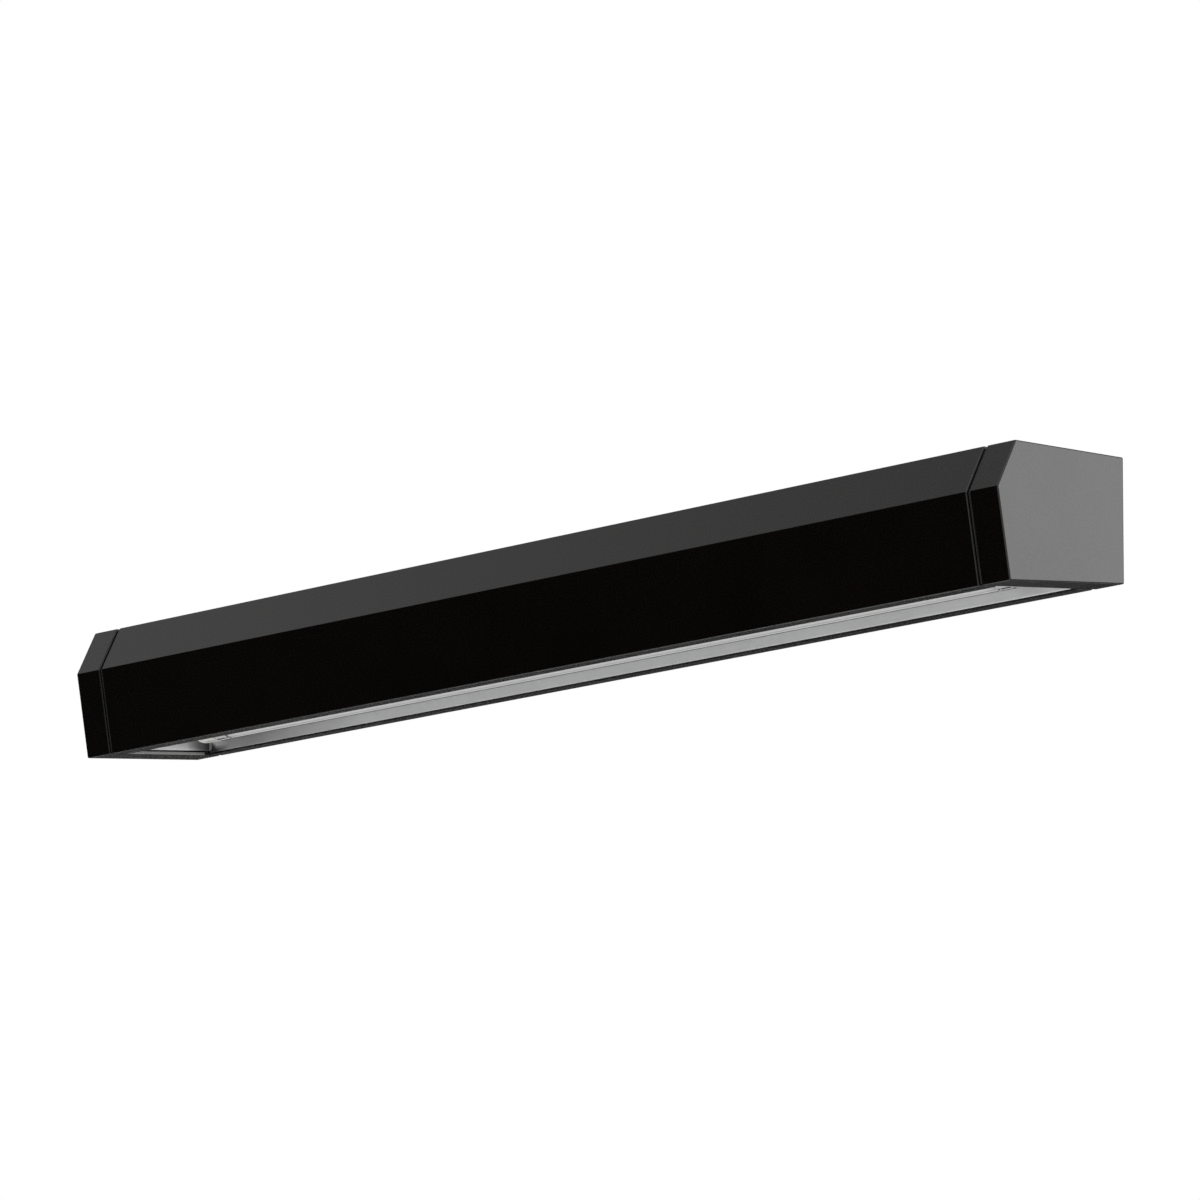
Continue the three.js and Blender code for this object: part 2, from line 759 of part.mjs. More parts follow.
// The control gear: a sheet-metal case over a circuit board, with a terminal at each end
const ballastStart = ballastEnd - ballastLength;
const ballastFront = ballastBack - ballastWidth;
const ballastFloor = trayTop + seat;
const coverBottom = ballastFloor + ballastSheet + seat;
const coverTop = ballastFloor + ballastHeight;
const ballastMiddle = (ballastFront + ballastBack) / 2;
const ballastScrews = [
  [ballastEnd + ballastEar / 2 + 1, ballastBack - 4],
  [ballastStart - ballastEar / 2 - 1, ballastFront + 4],
];
const gearTerminal = { reach: 5, depth: 7, halfWidth: 8, height: 9 };
const boardTop = coverBottom + boardThickness;

function makeBallastBase() {
  return cut(
    block(
      ballastStart - ballastEar, ballastEnd + ballastEar, ballastFront, ballastBack,
      ballastFloor, ballastFloor + ballastSheet,
    ),
    ...ballastScrews.map(([x, y]) => rod('z', screwHole, ballastFloor - 1, coverBottom + 1, x, y, 16)),
  );
}

function makeBallastCover() {
  const sheet = ballastSheet;
  const notch = gearTerminal.halfWidth + fit;
  return cut(
    block(ballastStart, ballastEnd, ballastFront, ballastBack, coverBottom, coverTop),
    block(
      ballastStart + sheet, ballastEnd - sheet, ballastFront + sheet, ballastBack - sheet,
      coverBottom - 1, coverTop - sheet,
    ),
    block(
      ballastStart - 1, ballastEnd + 1, ballastMiddle - notch, ballastMiddle + notch,
      coverBottom - 1, boardTop + gearTerminal.height + fit,
    ),
  );
}

function makeBoard() {
  const edge = ballastSheet + 3 * fit;
  return block(
    ballastStart + edge, ballastEnd - edge, ballastFront + edge, ballastBack - edge,
    coverBottom, boardTop,
  );
}

// A push-in terminal with one row of wire holes facing away from the case
function makeGearTerminal(end, sign) {
  const { reach, depth, halfWidth, height } = gearTerminal;
  const x0 = sign > 0 ? end - depth : end - reach;
  const floor = boardTop + seat;
  const face = end + sign * reach;
  const inner = face - sign * 4;
  const [near, far] = [inner, face + sign].sort((first, second) => first - second);
  const holes = terminalRows.map((y) => rod('x', wireRadius + fit, near, far, y, terminalLevel, 12));
  const [front, back] = [ballastMiddle - halfWidth, ballastMiddle + halfWidth];
  return cut(block(x0, x0 + reach + depth, front, back, floor, floor + height), ...holes);
}

const terminalLevel = boardTop + seat + gearTerminal.height / 2;
const terminalRows = [-6, -2, 2, 6].map((offset) => ballastMiddle + offset);

// The mains terminal block, with a screw over each pole and one that holds it down
const blockEnd = blockStart + polePitch * poleCount;
const blockFront = blockBack - blockDepth;
const blockMiddle = (blockFront + blockBack) / 2;
const blockFloor = trayTop + seat;
const blockTop = blockFloor + blockHeight;
const blockScrewX = blockStart + polePitch;
const blockScrewY = blockMiddle + 2;
const poleX = Array.from({ length: poleCount }, (_, pole) => blockStart + polePitch * (pole + 0.5));
const poleLevel = blockFloor + 5;
const poleScrewRadius = 1.9;
const poleScrewY = blockMiddle - 4;

function makeTerminalBlock() {
  const cuts = poleX.flatMap((x) => [
    rod('y', wireRadius + fit, blockFront - 1, blockFront + 5, x, poleLevel, 12),
    rod('y', wireRadius + fit, blockBack - 5, blockBack + 1, x, poleLevel, 12),
    rod('z', poleScrewRadius + fit, blockTop - 5, blockTop + 1, x, poleScrewY, 16),
  ]);
  const sink = machineScrew.headHeight + 1;
  return cut(
    block(blockStart, blockEnd, blockFront, blockBack, blockFloor, blockTop),
    rod('z', screwHole, blockFloor - 1, blockTop + 1, blockScrewX, blockScrewY, 16),
    rod('z', machineScrew.head + fit, blockTop - sink, blockTop + 1, blockScrewX, blockScrewY, 16),
    ...cuts,
  );
}

function makePoleScrew() {
  const height = 4;
  return cut(
    turned([
      [0, 0],
      [poleScrewRadius, 0],
      [poleScrewRadius, height],
      [0, height],
    ]),
    block(-poleScrewRadius - 1, poleScrewRadius + 1, -0.3, 0.3, height - 0.9, height + 1),
  );
}

// A smooth curve that gives each span between two of its points the same number of steps
class WirePath extends THREE.CatmullRomCurve3 {
  getUtoTmapping(share) {
    return share;
  }
}

// A wire: a round section along a smooth curve through a few points
function makeWire(points) {
  const sides = 7;
  const spanSteps = 3;
  const ring = [];
  for (let side = 0; side < sides; side += 1) {
    const angle = (2 * Math.PI * side) / sides;
    ring.push([wireRadius * Math.cos(angle), wireRadius * Math.sin(angle)]);
  }
  const path = new WirePath(points.map((point) => new THREE.Vector3(...point)));
  const geometry = new THREE.ExtrudeGeometry(shapeOf(ring), {
    steps: (points.length - 1) * spanSteps,
    bevelEnabled: false,
    extrudePath: path,
  });
  return solidOf(geometry);
}

// Wire ends stop inside their holes, short of the bottom
const laneLevel = trayTop + wireRadius + fit;
const lanes = [ballastFront - laneStart, ballastFront - laneStart - laneStep];
const lampFace = ballastStart - gearTerminal.reach;
const mainsFace = ballastEnd + gearTerminal.reach;
const leadTop = trayTop + seat + snapRise;
const intoHole = 2.4;

// The last stretch of a lamp lead, straight down into the lampholder
const plugIn = (x, y) => [3.6, 1.4, -intoHole].map((height) => [x, y, leadTop + height]);

function shortLampLead(side, row) {
  const x = -leadHoleX;
  const y = lampY + side * leadSpread;
  return makeWire([
    [lampFace + intoHole, row, terminalLevel],
    [lampFace - 8, row, terminalLevel],
    [lampFace - 40, (row + y) / 2, laneLevel + 1],
    [x + 40, y, laneLevel + 1],
    [x + 9, y, leadTop + 4],
    [x + 2.2, y, leadTop + 5],
    ...plugIn(x, y),
  ]);
}

function longLampLead(side, row, lane) {
  const x = leadHoleX;
  const y = lampY + side * leadSpread;
  const swing = ballastFront - lane;
  return makeWire([
    [lampFace + intoHole, row, terminalLevel],
    [lampFace - 8 - swing, row, terminalLevel],
    [lampFace - 17 - swing, row - 4, terminalLevel - 2],
    [lampFace - 18 - swing, lane + 5, laneLevel + 1],
    [lampFace - 11, lane, laneLevel],
    [ballastStart - 2, lane, laneLevel],
    [ballastStart + 20, lane, laneLevel],
    [ballastEnd - 30, lane, laneLevel],
    [clipX[0], lane, laneLevel],
    [clipX[1] - 20, lane, laneLevel],
    [clipX[1] + 6, lane, laneLevel],
    [clipX[1] + 14, lane, laneLevel],
    [x - 40, (lane + y) / 2 - 4, laneLevel + 1],
    [x - 11, y - 0.6, leadTop + 3.6],
    [x - 2.2, y, leadTop + 5],
    ...plugIn(x, y),
  ]);
}

const blockFace = blockFront + intoHole;
const clipX = [blockStart - 10, leadHoleX - 70];

function mainsLead(pole, row, swing) {
  const x = poleX[pole];
  return makeWire([
    [x, blockFace, poleLevel],
    [x, blockFront - swing, poleLevel],
    [x - 6, blockFront - swing - 3.5, poleLevel],
    [x - 22, blockFront - swing - 4, poleLevel],
    [mainsFace + 22, (blockFront - swing - 4 + row) / 2, terminalLevel],
    [mainsFace + 6, row, terminalLevel],
    [mainsFace - intoHole, row, terminalLevel],
  ]);
}

function earthLead() {
  const x = poleX[0];
  const level = trayTop + seat + earthNutHeight + wireRadius;
  return makeWire([
    [x, blockFace, poleLevel],
    [x, blockFront - 2.5, poleLevel],
    [x - 5, blockFront - 4.5, poleLevel],
    [x - 12, blockFront + 1, poleLevel],
    [(x + earthX) / 2, (blockFront + earthY) / 2, level + 1],
    [earthX + 9, earthY - 1, level + 0.3],
    [earthX + machineScrew.shank + fit, earthY, level + 0.3],
  ]);
}

// A saddle over the two long leads
function makeWireClip(x) {
  const halfLength = 4;
  const foot = 1.6;
  const front = lanes[1] - wireRadius - fit;
  const back = lanes[0] + wireRadius + fit;
  const floor = trayTop + seat;
  const roof = laneLevel + wireRadius + fit;
  return cut(
    block(x - halfLength, x + halfLength, front - foot, back + foot, floor, roof + 1),
    block(x - halfLength - 1, x + halfLength + 1, front, back, floor - 1, roof),
  );
}

// The earth stud, pressed into the tray from below, and its nut
const earthNutHeight = 2.4;

function makeEarthStud() {
  const head = 0.7;
  return turned([
    [0, trayBottom - seat - head],
    [2.4, trayBottom - seat - head],
    [2.4, trayBottom - seat],
    [machineScrew.shank, trayBottom - seat],
    [machineScrew.shank, trayTop + 8.6],
    [machineScrew.shank - 0.4, trayTop + 9],
    [0, trayTop + 9],
  ], 12, 0, [earthX, earthY, 0]);
}

function makeEarthNut() {
  const floor = trayTop + seat;
  return cut(
    rod('z', 3.2, floor, floor + earthNutHeight, earthX, earthY, 6),
    rod('z', screwHole, floor - 1, floor + earthNutHeight + 1, earthX, earthY, 16),
  );
}

// The fixed pieces
addPiece('housing', makeHousing(), satinBlack);
addPiece('wall_plate', makeWallPlate(), zincSteel);
addPiece('cable_grommet', makeGrommet(), blackRubber);
addPiece('gear_tray', makeTray(), whiteSteel);
addPiece('reflector', makeReflector(), hammeredAluminium);

ends.forEach(({ side, sign }) => {
  addPiece(`end_cap_${side}`, makeEndCap(sign), satinBlack);
  addPiece(`cap_gasket_${side}`, makeGasket(sign), blackRubber);
  lugLevels.forEach(({ level, z }) => {
    const screw = flatHead(lugThickness + wall + fit - 0.5);
    addScrew(`cap_screw_${side}_${level}`, screw, blackScrew, sign * lugScrewX, -recessDepth, z, headToWall);
  });
  addScrew(
    `lock_screw_${side}`, panHead(-innerBack - seat), screwSteel,
    sign * lockScrewX, innerBack - seat, lockScrewLevel, headToFront,
  );
  addScrew(
    `tray_screw_${side}`, panHead(trayThickness + 2 * fit + wall - seat), screwSteel,
    sign * tabX, trayBack - trayThickness - seat, trayTop + tabScrewLevel, headToFront,
  );
  addPiece(`end_reflector_${side}`, makeEndReflector(sign), hammeredAluminium);
  const flangeUnderside = reflectorTop - 2 * reflectorSheet - 2 * seat;
  addScrew(
    `reflector_screw_${side}`, panHead(trayTop - flangeUnderside + 0.8), screwSteel,
    sign * endScrewX, endScrewY, flangeUnderside, headDown,
  );
  addPiece(`lampholder_${side}`, makeHolder(sign), whitePlastic);
  addPiece(`contact_${side}_front`, makeContact(sign, -1), brass);
  addPiece(`contact_${side}_back`, makeContact(sign, 1), brass);
});

addPiece('ballast_base', makeBallastBase(), zincSteel);
addPiece('ballast_cover', makeBallastCover(), whiteSteel);
addPiece('ballast_board', makeBoard(), circuitGreen);
addPiece('ballast_mains_terminal', makeGearTerminal(ballastEnd, 1), greyPlastic);
addPiece('ballast_lamp_terminal', makeGearTerminal(ballastStart, -1), greyPlastic);
const screwTip = trayBottom - 0.5;
ballastScrews.forEach(([x, y], index) => {
  const seatLevel = ballastFloor + ballastSheet + seat;
  const screw = panHead(seatLevel - screwTip);
  addScrew(`ballast_screw_${['right', 'left'][index]}`, screw, screwSteel, x, y, seatLevel, headUp);
});

addPiece('terminal_block', makeTerminalBlock(), greyPlastic);
const poleNames = ['earth', 'live', 'neutral'];
poleX.forEach((x, pole) => {
  const name = `terminal_screw_${poleNames[pole]}`;
  addScrew(name, makePoleScrew(), screwSteel, x, poleScrewY, blockTop - 5 + seat, headUp);
});
const blockSeat = blockTop - machineScrew.headHeight - 1 + seat;
const blockScrew = panHead(blockSeat - screwTip);
addScrew('terminal_block_screw', blockScrew, screwSteel, blockScrewX, blockScrewY, blockSeat, headUp);
addPiece('earth_stud', makeEarthStud(), screwSteel);
addPiece('earth_nut', makeEarthNut(), brass);

const wireColours = {
  live: { color: 0x6a3d22, roughness: 0.45, metalness: 0 },
  neutral: { color: 0x2d5aa0, roughness: 0.45, metalness: 0 },
  earth: { color: 0x6f9a2c, roughness: 0.45, metalness: 0 },
  red: { color: 0xa32a22, roughness: 0.45, metalness: 0 },
  white: { color: 0xdedcd4, roughness: 0.45, metalness: 0 },
};
addPiece('earth_wire', earthLead(), wireColours.earth);
addPiece('live_wire', mainsLead(1, terminalRows[1], 3), wireColours.live);
addPiece('neutral_wire', mainsLead(2, terminalRows[0], 6), wireColours.neutral);
addPiece('lamp_lead_left_front', shortLampLead(-1, terminalRows[2]), wireColours.white);
addPiece('lamp_lead_left_back', shortLampLead(1, terminalRows[3]), wireColours.white);
addPiece('lamp_lead_right_front', longLampLead(-1, terminalRows[0], lanes[1]), wireColours.red);
addPiece('lamp_lead_right_back', longLampLead(1, terminalRows[1], lanes[0]), wireColours.red);
addPiece('wire_clip_near', makeWireClip(clipX[0]), whitePlastic);
addPiece('wire_clip_far', makeWireClip(clipX[1]), whitePlastic);

// The lamp and the rotors it turns
addPiece('lamp_tube', makeLampTube(), whiteGlass, lampTurn);
ends.forEach(({ side, sign }) => {
  addPiece(`lamp_cap_${side}`, makeLampCap(sign), lampAluminium, lampTurn);
  addPiece(`lamp_pin_${side}_front`, makePin(sign, -1), brass, lampTurn);
  addPiece(`lamp_pin_${side}_back`, makePin(sign, 1), brass, lampTurn);
  addPiece(`rotor_${side}`, makeRotor(sign), whitePlastic, lampTurn);
});

export default model;
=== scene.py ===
import json
import math

import bmesh
import bpy
from mathutils import Matrix, Vector, noise


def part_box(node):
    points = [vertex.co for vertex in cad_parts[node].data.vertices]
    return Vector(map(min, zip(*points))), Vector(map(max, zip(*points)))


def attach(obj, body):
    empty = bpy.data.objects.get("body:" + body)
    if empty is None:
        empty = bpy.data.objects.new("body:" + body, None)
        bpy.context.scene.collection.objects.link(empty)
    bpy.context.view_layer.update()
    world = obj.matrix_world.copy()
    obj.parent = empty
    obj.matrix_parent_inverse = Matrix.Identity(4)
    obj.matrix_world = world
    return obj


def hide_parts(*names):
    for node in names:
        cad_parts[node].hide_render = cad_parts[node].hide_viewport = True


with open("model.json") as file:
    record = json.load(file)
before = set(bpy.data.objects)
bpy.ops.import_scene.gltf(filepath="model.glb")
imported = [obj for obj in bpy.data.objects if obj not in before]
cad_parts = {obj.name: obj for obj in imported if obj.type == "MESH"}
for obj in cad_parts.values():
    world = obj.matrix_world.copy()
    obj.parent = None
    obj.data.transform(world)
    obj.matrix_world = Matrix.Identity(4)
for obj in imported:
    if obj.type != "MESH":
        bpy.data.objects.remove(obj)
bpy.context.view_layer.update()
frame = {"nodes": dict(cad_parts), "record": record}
print("frame loaded:", len(frame["nodes"]), "nodes")

fixed = "housing_body"
turning = "lamp"
ends = {"left": -1, "right": 1}
mm = 0.001
underside = math.tan(math.radians(5))  # the fall of the bar's underside, from the wall to the front
crispAngle = 32  # in degrees: edges sharper than this are bevelled or shaded sharp
flatAngle = 0.1  # in degrees: neighbours this close to one plane are one face
joinGap = 0.002 * mm  # points this close are one point


# One socket's value in a material, which can be added, multiplied and so on
class Reading:
    def __init__(self, finish, socket):
        self.finish = finish
        self.socket = socket

    def joined(self, operation, other, swapped=False):
        pair = (other, self) if swapped else (self, other)
        return self.finish.add("ShaderNodeMath", {"operation": operation}, dict(enumerate(pair)))

    def __add__(self, other):
        return self.joined("ADD", other)

    def __sub__(self, other):
        return self.joined("SUBTRACT", other)

    def __mul__(self, other):
        return self.joined("MULTIPLY", other)

    def __truediv__(self, other):
        return self.joined("DIVIDE", other)

    def __pow__(self, other):
        return self.joined("POWER", other)

    def __gt__(self, other):
        return self.joined("GREATER_THAN", other)

    def __radd__(self, other):
        return self.joined("ADD", other, True)

    def __rsub__(self, other):
        return self.joined("SUBTRACT", other, True)

    def __rmul__(self, other):
        return self.joined("MULTIPLY", other, True)


# A material, or the world, and the nodes that are added to it
class Finish:
    def __init__(self, name, world=None):
        self.made = world or bpy.data.materials.new(name)
        self.made.use_nodes = True
        self.tree = self.made.node_tree
        self.tree.nodes.clear()

    # Any node: its type, its settings, the values or links of its sockets, and the outputs that are read
    def add(self, kind, settings=(), inputs=(), output=0):
        node = self.tree.nodes.new(kind)
        for name, value in dict(settings).items():
            if name == "stops":
                self.setStops(node.color_ramp, value)
            else:
                setattr(node, name, value)
        for name, value in dict(inputs).items():
            if isinstance(value, Reading):
                self.tree.links.new(value.socket, node.inputs[name])
            else:
                node.inputs[name].default_value = value
        if isinstance(output, tuple):
            return [Reading(self, node.outputs[name]) for name in output]
        return Reading(self, node.outputs[output]) if len(node.outputs) else None

    def setStops(self, ramp, stops):
        while len(ramp.elements) < len(stops):
            ramp.elements.new(0.5)
        for element, (position, colour) in zip(ramp.elements, stops):
            element.position = position
            element.color = (*colour, 1)

    def place(self):
        return self.add("ShaderNodeTexCoord", output="Object")

    # The place, stretched along the axes: a pattern's size along each, in millimetres
    def stretched(self, sizes):
        scale = tuple(1 / (size * mm) for size in sizes)
        settings = {"vector_type": "POINT"}
        return self.add("ShaderNodeMapping", settings, {"Vector": self.place(), "Scale": scale})

    # How far along each of the named axes the place is
    def apart(self, *axes):
        return self.add("ShaderNodeSeparateXYZ", {}, {"Vector": self.place()}, output=axes)

    def grain(self, size, detail, where=None):
        scale = 1.0 if where else 1 / (size * mm)
        return self.add("ShaderNodeTexNoise", {}, {
            "Vector": where or self.place(), "Scale": scale, "Detail": detail, "Roughness": 0.55,
        })

    def pebbles(self, size):
        return self.add("ShaderNodeTexVoronoi", {"feature": "SMOOTH_F1"}, {
            "Vector": self.place(), "Scale": 1 / (size * mm), "Smoothness": 0.6,
        }, output="Distance")

    # A noise's usual reach, spread from low to high
    def ranged(self, value, low, high):
        return self.add("ShaderNodeMapRange", {}, {
            "Value": value, "From Min": 0.3, "From Max": 0.7, "To Min": low, "To Max": high,
        })

    def tones(self, value, *stops):
        return self.add("ShaderNodeValToRGB", {"stops": stops}, {"Fac": value})

    def blended(self, mask, first, second, way="MIX"):
        settings = {"data_type": "RGBA", "blend_type": way}
        return self.add("ShaderNodeMix", settings, {0: mask, 6: first, 7: second}, output=2)

    def relief(self, height, depth, strength, under=None):
        inputs = {"Height": height, "Distance": depth * mm, "Strength": strength}
        if under:
            inputs["Normal"] = under
        return self.add("ShaderNodeBump", {}, inputs)

    def surface(self, **values):
        sockets = {name.replace("_", " "): value for name, value in values.items()}
        shader = self.add("ShaderNodeBsdfPrincipled", {}, sockets)
        self.add("ShaderNodeOutputMaterial", {}, {"Surface": shader})
        return self.made


def grey(level):
    return (level, level, level)


# Painted light: a lighter grey on the inner face of each end cap's floor, across the lamp's opening,
# standing in for the side light on it
paintedEdgeLight = {"height": 1.45, "reach": 0.1, "offset": 0.075, "colour": (0.36, 0.36, 0.35, 1)}


def paintedEdgeLightMask(paint):
    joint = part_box("cap_gasket_right")[1].x + paintedEdgeLight["offset"] * mm
    front, back = (corner.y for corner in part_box("reflector"))
    top = paintedEdgeLight["height"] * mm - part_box("housing")[1].z
    along, depth, height = paint.apart("X", "Y", "Z")
    aside = paint.add("ShaderNodeMath", {"operation": "ABSOLUTE"}, {0: along})
    across = (aside > joint - paintedEdgeLight["reach"] * mm) * (1 - (aside > joint + paintedEdgeLight["reach"] * mm))
    within = (depth > front) * (1 - (depth > back))
    low = 1 - (height - depth * underside > top)
    return across * within * low


# Sprayed paint with a fine orange peel; the last argument gives the mask of a place painted a lighter grey,
# as painted light
def painted(name, dark, light, roughness, peel, peelDepth, paintedLightMask=None):
    paint = Finish(name)
    cloud = paint.grain(45, 3)
    skin = paint.grain(peel, 2)
    speck = paint.grain(peel * 0.35, 1)
    colour = paint.tones(cloud, (0.3, dark), (0.7, light))
    # Painted light: the masked place takes a lighter grey
    if paintedLightMask:
        colour = paint.blended(paintedLightMask(paint), colour, paintedEdgeLight["colour"])
    return paint.surface(
        Base_Color=colour,
        Roughness=paint.ranged(skin * 0.6 + cloud * 0.4, roughness - 0.035, roughness + 0.035),
        Normal=paint.relief(speck, peelDepth * 0.3, 0.6, paint.relief(skin, peelDepth, 0.8)),
    )


# Rolled or cast metal: drawn lines along one axis, soft clouds and a fine tooth
def bareMetal(name, dark, light, roughness, lines, lineDepth):
    metal = Finish(name)
    streak = metal.grain(1, 3, metal.stretched(lines))
    cloud = metal.grain(12, 2)
    return metal.surface(
        Base_Color=metal.tones(streak * 0.5 + cloud * 0.5, (0.3, dark), (0.7, light)),
        Metallic=1.0,
        Roughness=metal.ranged(streak * 0.7 + cloud * 0.3, roughness - 0.07, roughness + 0.07),
        Normal=metal.relief(streak, lineDepth, 0.7),
    )


# Hammered sheet, with painted shade about the corner behind the left lampholder and along the back wall's
# left end; its reaches in millimetres
paintedCornerShade = {
    "plateReach": 13, "plateFront": -6, "plateFace": 0.4,
    "nook": 4, "rise": 4, "nearby": 13, "wallReach": 110,
    "flange": (-0.15, 0.4), "flangeTone": (0.35, 0.35, 0.35, 1),
}


def hammeredMetal(name, corner):
    metal = Finish(name)
    pits = metal.pebbles(1.2)
    cloud = metal.grain(22, 3)
    tooth = metal.grain(0.5, 2)
    sheet = metal.tones(cloud, (0.3, (0.88, 0.885, 0.885)), (0.7, (0.94, 0.945, 0.945)))
    along, depth, height = metal.apart("X", "Y", "Z")
    aside = along - corner.x
    behind = depth - corner.y
    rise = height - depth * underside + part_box("housing")[1].z
    # Painted shade: the end plate darkens towards the corner behind the left lampholder
    reach = (aside * aside + behind * behind) ** 0.5 / (paintedCornerShade["plateReach"] * mm)
    plate = metal.tones(
        reach + cloud * 0.06,
        (0.05, grey(0.05)), (0.25, grey(0.12)), (0.5, grey(0.25)), (0.75, grey(0.48)), (1.0, grey(0.8)),
    )
    # Painted shade on the back wall: darker near the corner and towards its bottom there, and darker along
    # its length towards the left end
    nook = metal.tones(aside / (paintedCornerShade["nook"] * mm), (0.2, grey(0.5)), (1.0, grey(0)))
    near = metal.tones(
        rise / (paintedCornerShade["rise"] * mm) - nook,
        (0.28, grey(0.05)), (0.5, grey(0.17)), (0.72, grey(0.55)), (0.92, grey(1.0)),
    )
    far = metal.tones(
        aside / (paintedCornerShade["wallReach"] * mm),
        (0.26, grey(0.54)), (0.48, grey(0.67)), (0.7, grey(0.8)), (0.93, grey(0.96)), (1.0, grey(1.0)),
    )
    away = metal.tones(aside / (paintedCornerShade["nearby"] * mm), (0.3, grey(0)), (1.0, grey(1)))
    onWall = (aside > paintedCornerShade["plateFace"] * mm) * (behind > paintedCornerShade["plateFront"] * mm)
    paintedShade = metal.blended(onWall, plate, metal.blended(away, near, far))
    # The flange strip in the corner is painted a middle grey, lighter than the painted shade about it
    low, high = (edge * mm for edge in paintedCornerShade["flange"])
    paintedShade = metal.blended((behind > low) * (1 - (behind > high)), paintedShade, paintedCornerShade["flangeTone"])
    return metal.surface(
        Base_Color=metal.blended(1.0, sheet, paintedShade, "MULTIPLY"),
        Metallic=0.5,
        Roughness=metal.ranged(tooth * 0.5 + cloud * 0.5, 0.44, 0.54),
        Normal=metal.relief(tooth, 0.02, 0.6, metal.relief(pits, 0.10, 0.8)),
    )


# Galvanised sheet, in flakes
def zincPlate(name):
    metal = Finish(name)
    flakes = metal.add("ShaderNodeTexVoronoi", {"feature": "F1"}, {
        "Vector": metal.place(), "Scale": 1 / (4.5 * mm),
    }, output="Color")
    flake = metal.add("ShaderNodeSeparateColor", {}, {"Color": flakes})
    cloud = metal.grain(9, 3)
    return metal.surface(
        Base_Color=metal.tones(
            flake * 0.4 + cloud * 0.6, (0.2, (0.53, 0.54, 0.55)), (0.8, (0.62, 0.63, 0.64)),
        ),
        Metallic=1.0,
        Roughness=metal.ranged(flake * 0.6 + cloud * 0.4, 0.37, 0.45),
        Normal=metal.relief(cloud, 0.02, 0.4),
    )


def moulded(name, dark, light, roughness):
    plastic = Finish(name)
    cloud = plastic.grain(16, 2)
    spark = plastic.grain(0.5, 2)
    return plastic.surface(
        Base_Color=plastic.tones(cloud, (0.3, dark), (0.7, light)),
        Roughness=plastic.ranged(spark * 0.6 + cloud * 0.4, roughness - 0.06, roughness + 0.06),
        Normal=plastic.relief(spark, 0.02, 0.6),
    )


def rubber(name):
    skin = Finish(name)
    tooth = skin.grain(0.3, 3)
    cloud = skin.grain(7, 2)
    return skin.surface(
        Base_Color=skin.tones(cloud, (0.3, grey(0.006)), (0.7, grey(0.014))),
        Roughness=skin.ranged(tooth, 0.72, 0.9),
        Normal=skin.relief(tooth, 0.03, 0.7),
    )


# White powder inside clear glass: greyer at the lamp's ends, with a painted dark line of shade along the
# outline where the tube is seen edge on
def lampGlass(name, halfLength):
    glass = Finish(name)
    along = glass.apart("X")[0]
    reach = glass.add("ShaderNodeMath", {"operation": "ABSOLUTE"}, {0: along}) / halfLength
    cloud = glass.grain(30, 2)
    powder = glass.grain(0.6, 2)
    coat = glass.tones(
        reach + cloud * 0.004,
        (0.0, (0.61, 0.615, 0.61)), (0.94, (0.6, 0.605, 0.595)),
        (0.962, (0.46, 0.46, 0.45)), (0.975, (0.32, 0.32, 0.31)),
    )
    # Painted shade: the colour turns dark where the tube is seen edge on
    edgeOn = glass.add("ShaderNodeLayerWeight", {}, {"Blend": 0.5}, output="Facing")
    paintedOutlineShade = glass.tones(edgeOn, (0.76, grey(0)), (0.84, grey(1)))
    return glass.surface(
        Base_Color=glass.blended(paintedOutlineShade, coat, (0.05, 0.055, 0.05, 1)),
        Roughness=glass.ranged(powder * 0.5 + cloud * 0.5, 0.04, 0.07),
        IOR=1.52,
        Normal=glass.relief(powder, 0.001, 0.3),
    )


def circuitBoard(name):
    board = Finish(name)
    weave = board.grain(0.5, 1, board.stretched((3, 0.4, 1)))
    tracks = board.add("ShaderNodeTexVoronoi", {"feature": "DISTANCE_TO_EDGE", "distance": "EUCLIDEAN"}, {
        "Vector": board.stretched((14, 5, 5)), "Scale": 1.0,
    }, output="Distance")
    track = 1 - (tracks > 0.06)
    return board.surface(
        Base_Color=board.blended(track, (0.015, 0.10, 0.045, 1), (0.03, 0.19, 0.08, 1)),
        Roughness=board.ranged(weave, 0.3, 0.42),
        Normal=board.relief(weave, 0.01, 0.4, board.relief(track, 0.03, 0.6)),
    )


# Wire insulation, with a second colour down one side where it has one
def insulation(name, colour, stripe=None):
    sleeve = Finish(name)
    cloud = sleeve.grain(6, 2)
    tooth = sleeve.grain(0.4, 2)
    paler = tuple(min(1, part * 1.15 + 0.01) for part in colour)
    base = sleeve.tones(cloud, (0.3, colour), (0.7, paler))
    if stripe:
        normal = sleeve.add("ShaderNodeNewGeometry", output="Normal")
        side = sleeve.add("ShaderNodeSeparateXYZ", {}, {"Vector": normal})
        base = sleeve.blended((side + cloud * 0.1) > 0.05, base, (*stripe, 1))
    return sleeve.surface(
        Base_Color=base,
        Roughness=sleeve.ranged(tooth, 0.38, 0.5),
        Normal=sleeve.relief(tooth, 0.01, 0.5),
    )


